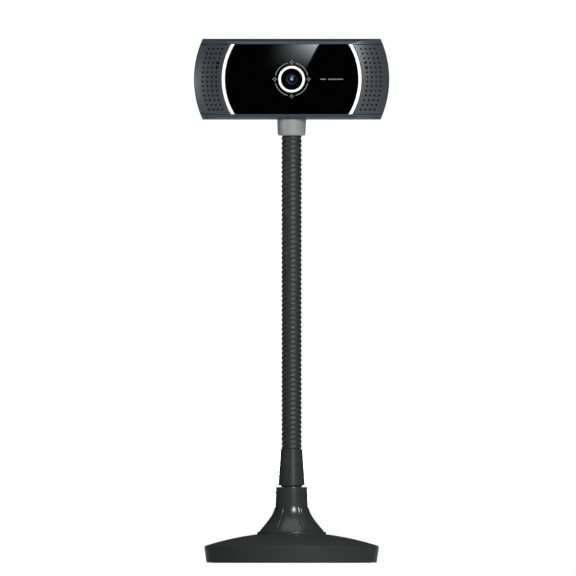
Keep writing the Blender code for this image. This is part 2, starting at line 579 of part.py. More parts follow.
def make_optics(head, ring_body, barrel_body):
    """Focus ring, threaded barrel with two lenses, and the fixed holder with filter and sensor."""
    ring = piece("focus_ring", turned_y([
        (FOCUS_RING_BORE, FOCUS_RING_FRONT_Y + 0.2), (FOCUS_RING_BORE + 0.2, FOCUS_RING_FRONT_Y),
        (FOCUS_RING_RADIUS - 0.2, FOCUS_RING_FRONT_Y), (FOCUS_RING_RADIUS, FOCUS_RING_FRONT_Y + 0.2),
        (FOCUS_RING_RADIUS, BULKHEAD_BACK_Y + GAP), (FLANGE_RADIUS, BULKHEAD_BACK_Y + GAP),
        (FLANGE_RADIUS, FLANGE_BACK_Y), (FOCUS_RING_BORE, FLANGE_BACK_Y),
    ], 24), ring_body, "trim_white")
    barrel = piece("lens_barrel", turned_y([
        (BARREL_MOUTH, BARREL_FRONT_Y), (BARREL_RADIUS, BARREL_FRONT_Y), (BARREL_RADIUS, BARREL_SHOULDER_Y),
        (BARREL_THREAD_RADIUS, BARREL_SHOULDER_Y), (BARREL_THREAD_RADIUS, BARREL_BACK_Y),
        (BARREL_TAIL_BORE, BARREL_BACK_Y), (BARREL_TAIL_BORE, -4.0), (BARREL_STOP, -4.0),
        (BARREL_STOP, -5.9), (BARREL_BORE, -5.9), (BARREL_BORE, -8.1), (2.1, -8.3),
    ], 20), barrel_body, "lens_black")
    for side, name in ((-1, "left"), (1, "right")):
        add(ring, f"key_{name}", block((0.9, 2.4, 0.8), (side * 4.95, -5.6, HEAD_Z)))
        cut(barrel, f"keyway_{name}", block((1.3, 4.6, 1.4), (side * 4.8, -6.5, HEAD_Z)))
    piece("lens_glass_front", turned_y([
        (0, -8.0), (1.7, -7.75), (2.8, -7.3), (2.8, -6.5), (1.5, -6.3), (0, -6.2),
    ], 16), barrel_body, "glass")
    piece("lens_glass_rear", turned_y([
        (0, -3.7), (1.6, -3.6), (3.1, -3.2), (3.1, -2.7), (1.6, -2.4), (0, -2.3),
    ], 16), barrel_body, "glass")
    board_gap = BOARD_FRONT_Y - GAP
    thread_bore = BARREL_THREAD_RADIUS + GAP
    holder = piece("lens_holder", turned_y([
        (thread_bore, -3.9), (HOLDER_RADIUS, -3.9), (HOLDER_RADIUS, HOLDER_FOOT_Y),
        (HOLDER_FOOT_RADIUS, HOLDER_FOOT_Y), (HOLDER_FOOT_RADIUS, board_gap), (SENSOR_SEAT, board_gap),
        (SENSOR_SEAT, -1.1), (2.8, -1.1), (2.8, BARREL_BACK_Y + GAP), (thread_bore, BARREL_BACK_Y + GAP),
    ], 20), head, "lens_black")
    cut(holder, "filter_seat", block((8.4, 1.6, 8.4), (0, -0.4, HEAD_Z)))
    piece("ir_filter", block((7.6, 0.4, 7.6), (0, -0.5, HEAD_Z)), head, "filter_glass")
    piece("image_sensor", block((6.8, 0.9, 6.2), (0, board_gap - 0.45, HEAD_Z)), head, "chip_black")


def make_board(body):
    """Circuit board with its chip, cable socket and screws, and the two microphone capsules."""
    thickness = BOARD_BACK_Y - BOARD_FRONT_Y
    board = piece("main_board", block(
        (BOARD_WIDTH, thickness, BOARD_HEIGHT), (0, BOARD_FRONT_Y + thickness / 2, HEAD_Z),
    ), body, "board_green")
    behind = BOARD_BACK_Y + GAP
    for i, x in enumerate((-BOARD_SCREW_X, BOARD_SCREW_X), 1):
        cut(board, f"board_hole_{i}", turned_y(rod(1.3, BOARD_FRONT_Y - 1, BOARD_BACK_Y + 1), 12, x))
        screw = turned_y(headed(1.0, 2.2, -2.6, behind, behind + 1.3), 12, x)
        piece(f"board_screw_{i}", screw, body, "zinc")
    piece("image_chip", block((9.0, 1.0, 9.0), (8.0, behind + 0.5, HEAD_Z)), body, "chip_black")
    housing = block((10.0, 4.6, 5.0), (-7.0, behind + 2.3, HEAD_Z))
    socket = piece("cable_socket", housing, body, "socket_ivory")
    cut(socket, "plug_hole", block((8.6, 4.0, 3.6), (-7.0, behind + 3.4, HEAD_Z)))
    for side, name in ((-1, "left"), (1, "right")):
        capsule = rod(MIC_RADIUS, BULKHEAD_BACK_Y + GAP, BULKHEAD_BACK_Y + GAP + MIC_THICKNESS)
        piece(f"mic_{name}", turned_y(capsule, 16, side * MIC_X, MIC_Z), body, "zinc")


def make_case_screws(body):
    for i, (x, z) in enumerate(case_screw_places(), 1):
        seat = SCREW_WELL_Y + GAP
        profile = headed(CASE_SCREW_RADIUS, CASE_SCREW_HEAD, 0.5, seat, seat + 1.6)
        piece(f"case_screw_{i}", turned_y(profile, 12, x, z), body, "zinc")


def make_gland(body):
    """Rubber grommet and strain relief that the cable leaves the case through."""
    inside, outside = HEAD_BACK_Y - HEAD_WALL - GAP, HEAD_BACK_Y + GAP
    piece("cable_gland", turned_y([
        (1.9, inside - 1.2), (4.3, inside - 1.2), (4.3, inside), (2.9, inside), (2.9, outside),
        (4.3, outside), (4.3, outside + 1.0), (3.1, outside + 1.6), (2.6, outside + 9.0),
        (1.9, outside + 9.0),
    ], 16, 0.0, GLAND_Z), body, "rubber")


def main():
    base = pivot("base", None, (0, 0, 0))
    make_base(base)
    make_socket(base)

    foot = pivot("neck_foot", base, (0, 0, SOCKET_TOP_Z))
    tail_low = make_ferrule(foot)
    heights = [NECK_LOW_Z + LINK_LENGTH * (i + 0.5) for i in range(PIVOTS)]
    make_neck_link(1, foot, None, heights[0], tail_low=tail_low)
    below = foot
    for i in range(1, PIVOTS):
        below = pivot(f"link_{i}", below, (0, 0, heights[i - 1]))
        make_neck_link(i + 1, below, heights[i - 1], heights[i])

    top = pivot("neck_top", below, (0, 0, heights[-1]))
    tail_high = make_collar(top)
    make_neck_link(PIVOTS + 1, top, heights[-1], None, tail_high=tail_high)

    head = pivot("head", top, (0, 0, UNDERSIDE_Z))
    make_front_shell(head)
    make_rear_shell(head)
    make_face(head)
    make_board(head)
    make_case_screws(head)
    make_gland(head)
    ring = pivot("focus_ring_body", head, (0, 0, HEAD_Z))
    barrel = pivot("lens_barrel_body", ring, (0, 0, HEAD_Z))
    make_optics(head, ring, barrel)


main()
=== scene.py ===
"""Looks of a webcam on a gooseneck stand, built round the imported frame.

Shapes are worked out in millimetres, in the frame's own axes, and turned into metres as each mesh
is made. The lens looks along -Y and +Z is up.
"""

import json
import math

import bmesh
import bpy
from mathutils import Matrix, Vector


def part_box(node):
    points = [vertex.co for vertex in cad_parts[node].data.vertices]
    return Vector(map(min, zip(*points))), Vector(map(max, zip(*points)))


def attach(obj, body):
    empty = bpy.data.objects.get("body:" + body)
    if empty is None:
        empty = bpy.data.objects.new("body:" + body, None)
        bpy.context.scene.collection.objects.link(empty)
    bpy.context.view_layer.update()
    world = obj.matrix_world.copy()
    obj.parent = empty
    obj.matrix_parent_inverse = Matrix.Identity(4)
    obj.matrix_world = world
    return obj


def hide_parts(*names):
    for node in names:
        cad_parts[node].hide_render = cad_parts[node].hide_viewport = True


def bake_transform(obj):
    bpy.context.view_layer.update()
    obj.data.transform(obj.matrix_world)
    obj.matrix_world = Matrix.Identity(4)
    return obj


MM = 0.001

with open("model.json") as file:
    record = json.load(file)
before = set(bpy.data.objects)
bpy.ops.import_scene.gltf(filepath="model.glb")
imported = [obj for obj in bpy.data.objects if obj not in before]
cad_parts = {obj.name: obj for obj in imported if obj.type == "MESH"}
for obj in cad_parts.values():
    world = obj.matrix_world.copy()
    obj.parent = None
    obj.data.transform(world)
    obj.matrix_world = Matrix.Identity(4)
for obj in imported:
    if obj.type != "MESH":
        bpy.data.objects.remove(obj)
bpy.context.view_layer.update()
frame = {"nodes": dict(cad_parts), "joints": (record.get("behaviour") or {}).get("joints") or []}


def box(node):
    """Lowest and highest corner of a CAD node, in millimetres."""
    low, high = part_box(node)
    return low / MM, high / MM


# Places and sizes, from the frame

shell_low, shell_high = box("base_shell")
socket_high = box("neck_socket")[1]
collar_low, collar_high = box("neck_collar")
front_low, front_high = box("head_front_shell")
ring_low = box("focus_ring")[0]
gland_low, gland_high = box("cable_gland")

RIM_RADIUS = shell_high.x + 0.2
DOME_TOP_Z = shell_high.z + 0.2
SOCKET_FOOT_RADIUS = socket_high.x
SOCKET_TOP_Z = socket_high.z
FERRULE_LOW_Z, FERRULE_TOP_Z = SOCKET_TOP_Z + 0.8, box("neck_ferrule")[1].z
COLLAR_LOW_Z, COLLAR_HIGH_Z = collar_low.z - 0.3, collar_high.z
HEAD_RADIUS = front_high.x + 0.2
HEAD_HALF_HEIGHT = (front_high.z - front_low.z) / 2
HEAD_Z = (front_high.z + front_low.z) / 2
HEAD_UNDER = HEAD_Z - HEAD_HALF_HEIGHT
FRONT_Y, SPLIT_Y, BACK_Y = box("front_window")[0].y, front_high.y, box("head_rear_shell")[1].y
GLAND_Z = (gland_low.z + gland_high.z) / 2
PIVOT_HEIGHTS = []
for joint in frame["joints"]:
    if joint["name"].startswith(("neck_tilt", "neck_lean")):
        PIVOT_HEIGHTS.append(joint["pos_m"][2] / MM)
LINK_LENGTH = PIVOT_HEIGHTS[1] - PIVOT_HEIGHTS[0]

# Sizes of details that the frame leaves plain

RIM_FOOT_RADIUS, RIM_TOP_Z, RIM_WALL = RIM_RADIUS - 1.0, 7.7, 2.3
DOME_RADIUS, DOME_WALL, DOME_BORE = 130.0, 2.0, 9.0  # the first is the radius of its curve
TREAD_DEPTH = 0.35
SOCKET_NECK_RADIUS, SOCKET_NECK_Z, SOCKET_TOP_RADIUS = 7.68, 27.0, 7.36
SOCKET_STEP_RADIUS, SOCKET_STEP_Z, SOCKET_FOOT_BORE = 14.9, 14.85, 9.0
SOCKET_BORE, SOCKET_BORE_Z = 4.9, 24.0  # for the ferrule's spigot
STUD_BORE, SOCKET_WEB_Z, SOCKET_HOLLOW = 3.3, 20.0, 8.2
PANELS = 6  # shallow panels round the socket's flare
PANEL_LOW_Z, PANEL_HIGH_Z, PANEL_FADE = 15.6, 27.5, 2.5
RIDGE_HEIGHT, GROOVE_DEPTH, EDGE_WIDTH = 0.16, 0.22, 0.38  # at each panel's edge
NECK_RADIUS, NECK_GROOVE_RADIUS, NECK_PITCH = 4.66, 4.30, 2.205
WINDING_BORE, COIL_RADIUS, COIL_BORE = 3.4, 3.1, 2.2
NECK_TUCK = 1.5  # how far the winding's ends reach into the ferrule and the collar
WALL, CASE_EDGE, SEAM = 1.6, 0.22, 0.25
CHAMBER_RADIUS, LENS_PASS_RADIUS = 38.5, 6.6
BULKHEAD_RADIUS, BULKHEAD_Y = 40.0, -6.6
COLLAR_SEAT_RADIUS, COLLAR_SEAT_DEPTH, PIVOT_BORE = 6.85, 0.7, 2.9
BACK_BEND_Y = 10.2  # where the rear cover starts to round
CASE_SCREW_X, CASE_SCREW_Z = 26.0, 13.6
GLAND_HOLE, GLAND_RIBS = 3.2, 5
FACE_BEND_RADIUS, FACE_BEND_SLOPE, FACE_BEND_CURVE = 32.4, 0.20, 0.017
STRIP_INNER = 16.45  # half the height between the top and bottom strips
RECESS = STRIP_INNER - 0.15
WINDOW_RADIUS, TRIM_RADIUS = 30.9, 32.4
GRILLE_ROWS, GRILLE_COLUMNS = 14, 4
GRILLE_ROW_PITCH, GRILLE_COLUMN_PITCH, GRILLE_INNER_RADIUS = 2.16, 2.10, 35.0
DIMPLE_RADIUS, DIMPLE_DEPTH, MIC_HOLE_RADIUS = 0.50, 1.0, 0.72
MIC_ROWS = (3, 4)  # counted from the top row, 0
CIRCLE_OUTER, CIRCLE_INNER, STAR_PLACE, BAR_HALF = 7.86, 7.46, 7.8, 0.27
LENS_HOLE_RADIUS, RING_RADIUS, RING_BORE, BARREL_RADIUS = 6.26, 6.14, 5.02, 4.86
GLASS_RADIUS = 100.0  # of the front element's shallow curve

# Shapes


def spaced(first, last, count):
    """Evenly spaced values, with both ends."""
    return [first + (last - first) * i / count for i in range(count + 1)]


def rounded(points, count=4):
    """A closed outline. A corner given as (a, b, radius) becomes an arc."""
    outline = []
    for i, point in enumerate(points):
        here = Vector(point[:2])
        if len(point) == 2:
            outline.append(tuple(here))
            continue
        before = (Vector(points[i - 1][:2]) - here).normalized()
        after = (Vector(points[(i + 1) % len(points)][:2]) - here).normalized()
        half = before.angle(after) / 2
        centre = here + (before + after).normalized() * point[2] / math.sin(half)
        reach = point[2] / math.tan(half)
        first, last = here + before * reach - centre, here + after * reach - centre
        sweep = math.pi - 2 * half
        for t in spaced(0, 1, count):
            spoke = (first * math.sin((1 - t) * sweep) + last * math.sin(t * sweep)) / math.sin(sweep)
            outline.append(tuple(centre + spoke))
    return outline


def skinned(rows, ring=False):
    """A closed body through rows of points, each row a closed outline or one point.

    The first and last rows are capped, or joined to each other where ring is set.
    """
    bm = bmesh.new()
    made = [[bm.verts.new(point) for point in row] for row in rows]
    pairs = list(zip(made, made[1:] + made[:1])) if ring else list(zip(made, made[1:]))
    for low, high in pairs:
        for i in range(max(len(low), len(high))):
            corners = [low[(i - 1) % len(low)], low[i % len(low)]]
            corners += [high[i % len(high)], high[(i - 1) % len(high)]]
            bm.faces.new(dict.fromkeys(corners))
    if not ring:
        for row in (made[0], made[-1]):
            if len(row) > 2:
                bm.faces.new(row)
    bmesh.ops.recalc_face_normals(bm, faces=bm.faces)
    return bm


def turned(profile, sides=96, radius_at=None):
    """A closed (radius, height) profile turned about Z. radius_at may change a radius with the angle."""
    rows = []
    for r, z in profile:
        if r < 1e-6:
            rows.append([(0, 0, z)])
            continue
        turns = [2 * math.pi * i / sides for i in range(sides)]
        radii = [radius_at(r, z, a) if radius_at else r for a in turns]
        rows.append([(q * math.cos(a), q * math.sin(a), z) for q, a in zip(radii, turns)])
    return skinned(rows, ring=profile[0][0] > 1e-6)


def rod(radius, low, high):
    """The profile of a plain cylinder between two heights."""
    return [(0, low), (radius, low), (radius, high), (0, high)]


def turned_y(profile, sides=96, x=0.0, z=0.0):
    """A (radius, y) profile turned about an axis along Y, through x and the head's height plus z."""
    bm = turned(profile, sides)
    bmesh.ops.transform(bm, matrix=Matrix.Rotation(-math.pi / 2, 4, "X"), verts=bm.verts)
    bmesh.ops.translate(bm, vec=(x, 0, HEAD_Z + z), verts=bm.verts)
    return bm


def clipped_disc(radius, half_height, count=48):
    """Outline in X and Z of a disc cut off flat above and below."""
    turn = math.asin(half_height / radius)
    arc = [(radius * math.cos(a), radius * math.sin(a)) for a in spaced(-turn, turn, count)]
    return arc + [(-x, -z) for x, z in arc]


def ring_sector(inner, outer, half_height, side, count=40):
    """Outline of the piece of a ring on one side (+1 or -1) between two flats."""
    def arc(radius):
        turn = math.asin(half_height / radius)
        return [(side * radius * math.cos(a), radius * math.sin(a)) for a in spaced(-turn, turn, count)]

    return arc(outer) + arc(inner)[::-1]


def prism(outline, low_y, high_y):
    """An outline in X and Z from the head's centre, extruded along Y."""
    return skinned([[(x, y, HEAD_Z + z) for x, z in outline] for y in (low_y, high_y)])


def soften(bm, width, count=2, least_angle=30):
    """Rounds the sharp edges of a mesh."""
    edges = [edge for edge in bm.edges if len(edge.link_faces) == 2]
    sharp = [edge for edge in edges if edge.calc_face_angle() > math.radians(least_angle)]
    bmesh.ops.bevel(
        bm, geom=sharp, offset=width, segments=count, profile=0.5, affect="EDGES", clamp_overlap=True,
    )
    return bm


def merged(parts):
    """Several meshes in one."""
    whole = bmesh.new()
    for bm in parts:
        mesh = bpy.data.meshes.new("part")
        bm.to_mesh(mesh)
        bm.free()
        whole.from_mesh(mesh)
        bpy.data.meshes.remove(mesh)
    return whole


def face_y(radius):
    """Front surface of the head beside its flat middle: it turns back sharply, then curves further."""
    out = max(radius - FACE_BEND_RADIUS, 0.0)
    return FRONT_Y + FACE_BEND_SLOPE * out + FACE_BEND_CURVE * out**2


def new_object(name, bm):
    """An object from a mesh in millimetres."""
    bmesh.ops.scale(bm, vec=(MM, MM, MM), verts=bm.verts)
    mesh = bpy.data.meshes.new(name)
    bm.to_mesh(mesh)
    bm.free()
    made = bpy.data.objects.new(name, mesh)
    bpy.context.scene.collection.objects.link(made)
    return made


def shade(thing, least_angle=32):
    """Smooth, except at sharp edges, and with large flat faces kept flat beside rounded ones."""
    thing.data.shade_smooth()
    thing.data.set_sharp_from_angle(angle=math.radians(least_angle))
    weighted = thing.modifiers.new("normals", "WEIGHTED_NORMAL")
    weighted.keep_sharp = True
    apply_modifiers(thing)


def settle(thing, body, replaces=(), least_angle=32):
    """Shades a visible piece, has it ride on a body and stand for CAD nodes."""
    shade(thing, least_angle)
    if body:
        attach(thing, body)
    if replaces:
        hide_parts(*replaces)


def piece(name, bm, finish, body, replaces=(), least_angle=32):
    """A visible piece made from one mesh."""
    made = new_object(name, bm)
    dress(made, finish)
    settle(made, body, replaces, least_angle)
    return made


def carve(target, tool, operation="DIFFERENCE", finish=None):
    """Applies a Boolean with a tool mesh or object and drops it. The cut can have its own finish."""
    guide = tool if isinstance(tool, bpy.types.Object) else new_object("tool", tool)
    if finish:
        guide.data.materials.append(MATERIALS[finish][0])
    boolean = target.modifiers.new("carve", "BOOLEAN")
    boolean.material_mode = "TRANSFER"
    boolean.operation = operation
    boolean.object = guide
    apply_modifiers(target)
    bpy.data.objects.remove(guide)


def apply_modifiers(target):
    """Puts an object's modifiers into its mesh."""
    evaluated = target.evaluated_get(bpy.context.evaluated_depsgraph_get())
    mesh = bpy.data.meshes.new_from_object(evaluated)
    target.modifiers.clear()
    target.data = mesh


def round_edges(target, width):
    """Rounds an object's sharp edges."""
    bevel = target.modifiers.new("edges", "BEVEL")
    bevel.width = width * MM
    bevel.segments = 2
    bevel.limit_method = "ANGLE"
    bevel.angle_limit = math.radians(30)
    apply_modifiers(target)


# Materials


def node(tree, kind, **inputs):
    """A shader node with some of its inputs set. An underscore in a name stands for a space."""
    made = tree.nodes.new(kind)
    for name, value in inputs.items():
        made.inputs[name.replace("_", " ")].default_value = value
    return made


def noise(tree, place, size, detail=2.0, roughness=0.5):
    """A noise whose features are about size millimetres across."""
    made = node(tree, "ShaderNodeTexNoise", Scale=1 / (size * MM), Detail=detail, Roughness=roughness)
    tree.links.new(place, made.inputs["Vector"])
    return made.outputs["Fac"]


def spread(tree, value, low, high):
    """Stretches a noise's middle to run from low to high."""
    made = node(tree, "ShaderNodeMapRange", From_Min=0.3, From_Max=0.7, To_Min=low, To_Max=high)
    tree.links.new(value, made.inputs["Value"])
    return made.outputs["Result"]


MATERIALS = {}  # a finish's name: its material and the record's slot
CLOUD_SIZE, SHEEN_SIZE = 14.0, 3.0  # of the patches of uneven colour and sheen
SCRATCH_SIZE, SCRATCH_STRETCH = 2.0, 14.0


def material(
    name, colour, roughness, metallic=0.0, specular=0.5, transmission=0.0, coat=0.0, slot=None,
    grain=0.0, grain_size=0.25, scratch=0.0, mottle=0.06, rough_spread=0.06,
):
    """A surface with a moulded or sprayed grain, uneven sheen and slightly uneven colour.

    Grain and scratch are heights, and grain_size a width, in millimetres. Mottle and rough_spread are
    how far the colour and the roughness stray from their middle.
    """
    made = bpy.data.materials.new(name)
    made.use_nodes = True
    tree = made.node_tree
    surface = tree.nodes["Principled BSDF"]
    surface.inputs["Metallic"].default_value = metallic
    surface.inputs["Specular IOR Level"].default_value = specular
    surface.inputs["Transmission Weight"].default_value = transmission
    surface.inputs["Coat Weight"].default_value = coat
    surface.inputs["Coat Roughness"].default_value = 0.04
    place = tree.nodes.new("ShaderNodeTexCoord").outputs["Object"]

    shades = tree.nodes.new("ShaderNodeMix")
    shades.data_type = "RGBA"
    cloud = noise(tree, place, CLOUD_SIZE, detail=3.0)
    tree.links.new(spread(tree, cloud, 0.0, 1.0), shades.inputs["Factor"])
    shades.inputs["A"].default_value = (*[c * (1 - mottle) for c in colour], 1)
    shades.inputs["B"].default_value = (*[min(c * (1 + mottle), 1.0) for c in colour], 1)
    tree.links.new(shades.outputs["Result"], surface.inputs["Base Color"])

    smoothest, roughest = max(roughness - rough_spread, 0.0), roughness + rough_spread
    sheen = spread(tree, noise(tree, place, SHEEN_SIZE, detail=4.0), smoothest, roughest)
    tree.links.new(sheen, surface.inputs["Roughness"])

    heights = []
    if grain:
        heights.append((noise(tree, place, grain_size, detail=1.0), grain))
    if scratch:
        stretched = node(tree, "ShaderNodeMapping", Scale=(1.0, 1.0, SCRATCH_STRETCH))
        tree.links.new(place, stretched.inputs["Vector"])
        heights.append((noise(tree, stretched.outputs["Vector"], SCRATCH_SIZE, detail=3.0), scratch))
    normal = None
    for value, height in heights:
        bump = node(tree, "ShaderNodeBump", Distance=height * MM)
        tree.links.new(value, bump.inputs["Height"])
        if normal:
            tree.links.new(normal, bump.inputs["Normal"])
        normal = bump.outputs["Normal"]
    if normal:
        tree.links.new(normal, surface.inputs["Normal"])
    MATERIALS[name] = (made, slot or name)


def make_materials():
    """Every finish, by the name of the record's slot where it has one."""
    material("case_grey", (0.030, 0.036, 0.043), 0.36, grain=0.003, grain_size=0.22, rough_spread=0.02)
    material("hole_shadow", (0.011, 0.012, 0.014), 0.8, specular=0.1, grain=0.004)
    material("base_plastic", (0.028, 0.030, 0.029), 0.60, specular=0.22, grain=0.008, grain_size=0.28)
    material("satin_black", (0.029, 0.031, 0.030), 0.26, grain=0.001, grain_size=0.35, rough_spread=0.02)
    material("neck_black", (0.016, 0.017, 0.017), 0.48, grain=0.006, grain_size=0.20)
    material("collar_grey", (0.24, 0.245, 0.24), 0.42, grain=0.008, grain_size=0.25)
    material("trim_white", (0.90, 0.91, 0.91), 0.35, grain=0.003, mottle=0.01)
    material("window_black", (0.0006, 0.0006, 0.0006), 0.012, mottle=0.0, rough_spread=0.004)
    material("print_grey", (0.13, 0.13, 0.13), 0.60, slot="trim_white")
    material("lens_black", (0.0008, 0.0008, 0.0011), 0.24, specular=0.015, grain=0.001, grain_size=0.15)
    material(
        "lens_ring", (0.002, 0.0024, 0.0036), 0.50, specular=0.10, grain=0.001, grain_size=0.15,
        slot="lens_black",
    )
    material(
        "lens_glass", (0.0008, 0.0025, 0.010), 0.02, coat=1.0, slot="glass", mottle=0.1, rough_spread=0.01,
    )
    material("filter_glass", (0.30, 0.62, 0.60), 0.05, transmission=0.8)
    material("rubber", (0.018, 0.018, 0.018), 0.85, grain=0.02, grain_size=0.4, specular=0.3)
    material("zinc", (0.60, 0.60, 0.61), 0.32, metallic=1.0, scratch=0.003, grain=0.003)
    material("spring_steel", (0.42, 0.42, 0.43), 0.28, metallic=1.0, scratch=0.004)
    material("cast_iron", (0.10, 0.10, 0.10), 0.75, metallic=0.8, grain=0.05, grain_size=0.8)
    material("board_green", (0.020, 0.130, 0.055), 0.42, grain=0.004, coat=0.4)
    material("chip_black", (0.015, 0.015, 0.016), 0.45, grain=0.006)
    material("socket_ivory", (0.75, 0.72, 0.62), 0.50, grain=0.004)


def dress(thing, finish):
    """Gives a piece or a CAD node its material."""
    made, slot = MATERIALS[finish]
    if not thing.material_slots:
        thing.data.materials.append(made)
    for i in range(len(thing.material_slots)):
        thing.material_slots[i].material = made


# Base


def dome_z(radius):
    """Height of the base's top."""
    edge = math.sqrt(DOME_RADIUS**2 - SOCKET_FOOT_RADIUS**2)
    return DOME_TOP_Z + math.sqrt(DOME_RADIUS**2 - radius**2) - edge


def make_base():
    """The domed shell, hollow below, and the rubber foot with its ring treads."""
    low, inner = shell_low.z - 0.25, RIM_RADIUS - RIM_WALL
    dome = [(r, dome_z(r)) for r in spaced(RIM_RADIUS - 0.4, SOCKET_FOOT_RADIUS, 24)]
    ceiling = [(r, dome_z(r) - DOME_WALL) for r in spaced(SOCKET_FOOT_RADIUS, inner, 10)]
    rim = rounded([
        (inner, low), (RIM_FOOT_RADIUS, low, 0.3), (RIM_RADIUS + 0.05, RIM_TOP_Z - 0.1, 0.5), dome[0],
    ])
    bore = [(DOME_BORE, DOME_TOP_Z), (DOME_BORE, DOME_TOP_Z - DOME_WALL)]
    shell = turned(rim + dome[1:] + bore + ceiling + [(inner, low + 0.5)], 160)
    piece("dome_shell", shell, "base_plastic", "base", ["base_shell"])

    pad_high = box("foot_pad")[1]
    treads = []
    for r in spaced(4.0, 34.0, 10):
        treads += [(r - 0.5, 0.0), (r - 0.3, TREAD_DEPTH), (r + 0.3, TREAD_DEPTH), (r + 0.5, 0.0)]
    r, top = pad_high.x, pad_high.z
    edge = rounded([(r, 0.0, 0.4), (r, top, 0.3), (0, top), (0, 0)], 3)[:-2]
    foot = turned([(0, 0.0)] + treads + edge + [(0, top)], 128)
    piece("rubber_foot", foot, "rubber", "base", ["foot_pad"])


def socket_radius(z):
    """Radius of the bell-shaped socket below its neck: it flares out like a cosine."""
    u = min(max((SOCKET_NECK_Z - z) / (SOCKET_NECK_Z - SOCKET_STEP_Z), 0.0), 1.0)
    return SOCKET_NECK_RADIUS + (SOCKET_STEP_RADIUS - SOCKET_NECK_RADIUS) * (1 - math.cos(math.pi * u / 2))


def panel_edge(r, z, angle):
    """Radius of the socket with a groove and a low ridge beside it at each panel's edge."""
    low_fade = min(max((z - PANEL_LOW_Z) / PANEL_FADE, 0.0), 1.0)
    fade = low_fade * min(max((PANEL_HIGH_Z - z) / PANEL_FADE, 0.0), 1.0)
    if r < SOCKET_NECK_RADIUS - 0.6 or fade == 0.0:
        return r
    step = 2 * math.pi / PANELS
    off = (angle - math.pi / 2 + step / 2) % step
    off = (off if off < step / 2 else off - step) * r  # millimetres round from the nearest edge
    ridge = RIDGE_HEIGHT * math.exp(-((off + 0.45) / EDGE_WIDTH) ** 2)
    groove = GROOVE_DEPTH * math.exp(-((off - 0.35) / EDGE_WIDTH) ** 2)
    return r + fade * (ridge - groove)


def make_socket():
    """The bell-shaped socket on the base, with a stepped bore for the ferrule."""
    low = DOME_TOP_Z - 0.05
    flare = [(socket_radius(z), z) for z in spaced(SOCKET_STEP_Z + 0.25, SOCKET_NECK_Z, 48)]
    taper = SOCKET_TOP_RADIUS - SOCKET_NECK_RADIUS
    neck = [(SOCKET_NECK_RADIUS + taper * t, SOCKET_NECK_Z + t * 7.6) for t in spaced(0.05, 1, 12)]
    foot = rounded([
        (SOCKET_FOOT_BORE, low), (SOCKET_FOOT_RADIUS, low, 0.1),
        (SOCKET_FOOT_RADIUS - 0.08, low + 1.15, 0.1), (SOCKET_STEP_RADIUS + 0.15, low + 1.3, 0.1), flare[0],
    ])
    top = rounded([
        neck[-1], (SOCKET_TOP_RADIUS, SOCKET_TOP_Z, 0.3), (SOCKET_BORE, SOCKET_TOP_Z, 0.2),
        (SOCKET_BORE, SOCKET_BORE_Z), (STUD_BORE, SOCKET_BORE_Z), (STUD_BORE, SOCKET_WEB_Z),
        (SOCKET_HOLLOW, SOCKET_WEB_Z),
    ])
    bell = turned(foot + flare[1:] + neck[:-1] + top + [(SOCKET_HOLLOW, low)], 360, panel_edge)
    piece("bell_socket", bell, "satin_black", "base", ["neck_socket"], 40)


# Neck


def make_ferrule():
    """The tapered ferrule with its spigot and stud in the socket."""
    low, high = FERRULE_LOW_Z, FERRULE_TOP_Z
    stud = [(0, 14.2), (2.6, 14.2), (3.0, 14.6), (3.0, 24.3)]
    spigot = [(4.6, 24.3), (4.6, low - 0.7), (5.2, low - 0.6), (5.2, low)]
    cone = [(6.3, low, 0.2), (5.08, high, 0.35), (4.2, high), (4.2, 42.0), (0, 42.0)]
    bm = turned(rounded(stud + spigot + cone, 5), 128)
    piece("tapered_ferrule", bm, "satin_black", "neck_foot", ["neck_ferrule"])


def winding_radius(z, angle):
    """Outer radius of the neck: a round-backed wire in a helix, with a narrow groove between turns."""
    turn = z / NECK_PITCH - angle / (2 * math.pi)
    wire = 1 - abs(math.cos(math.pi * turn)) ** 4
    return NECK_GROOVE_RADIUS + (NECK_RADIUS - NECK_GROOVE_RADIUS) * wire


def neck_tube(low, high, rows, sides, outer, inner):
    """A tube along the neck whose outer radius depends on the place."""
    turns = [2 * math.pi * i / sides for i in range(sides)]
    rings = []
    for z in spaced(low, high, rows):
        rings.append([(outer(z, a) * math.cos(a), outer(z, a) * math.sin(a), z) for a in turns])
    for z in spaced(high, low, 12):
        rings.append([(inner * math.cos(a), inner * math.sin(a), z) for a in turns])
    return skinned(rings, ring=True)


def make_neck():
    """Eight stretches of winding, each centred on one of the neck's joints."""
    last = len(PIVOT_HEIGHTS)
    shapes = (
        ("winding", "neck_black", "neck_wire", winding_radius, WINDING_BORE, 120, 72),
        ("inner_coil", "spring_steel", "neck_coil", lambda z, a: COIL_RADIUS, COIL_BORE, 12, 24),
    )
    for k, height in enumerate(PIVOT_HEIGHTS, 1):
        low, high = height - LINK_LENGTH / 2, height + LINK_LENGTH / 2
        mesh_low = low - NECK_TUCK if k == 1 else low
        mesh_high = high + NECK_TUCK if k == last else high
        ends = [last + 1] if k == last else []
        for name, finish, stands_for, outer, inner, rows, sides in shapes:
            tube = neck_tube(mesh_low, mesh_high, rows, sides, outer, inner)
            nodes = [f"{stands_for}_{i}" for i in [k] + ends]
            made = piece(f"{name}_{k}", tube, finish, None, nodes)
            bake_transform(made)


def make_collar():
    """The grey collar, swelling a little towards the head."""
    low, high = COLLAR_LOW_Z, COLLAR_HIGH_Z
    outside = [(6.35, low, 0.75), (6.55, (low + high) / 2, 4.0), (6.7, high, 0.2)]
    inside = [(2.9, high), (2.9, 203.5), (4.2, 203.5)]
    profile = rounded([(4.2, low + 0.3), (4.55, low, 0.1)] + outside + inside, 5)
    piece("grey_collar", turned(profile, 128), "collar_grey", "neck_top", ["neck_collar"])


# Head


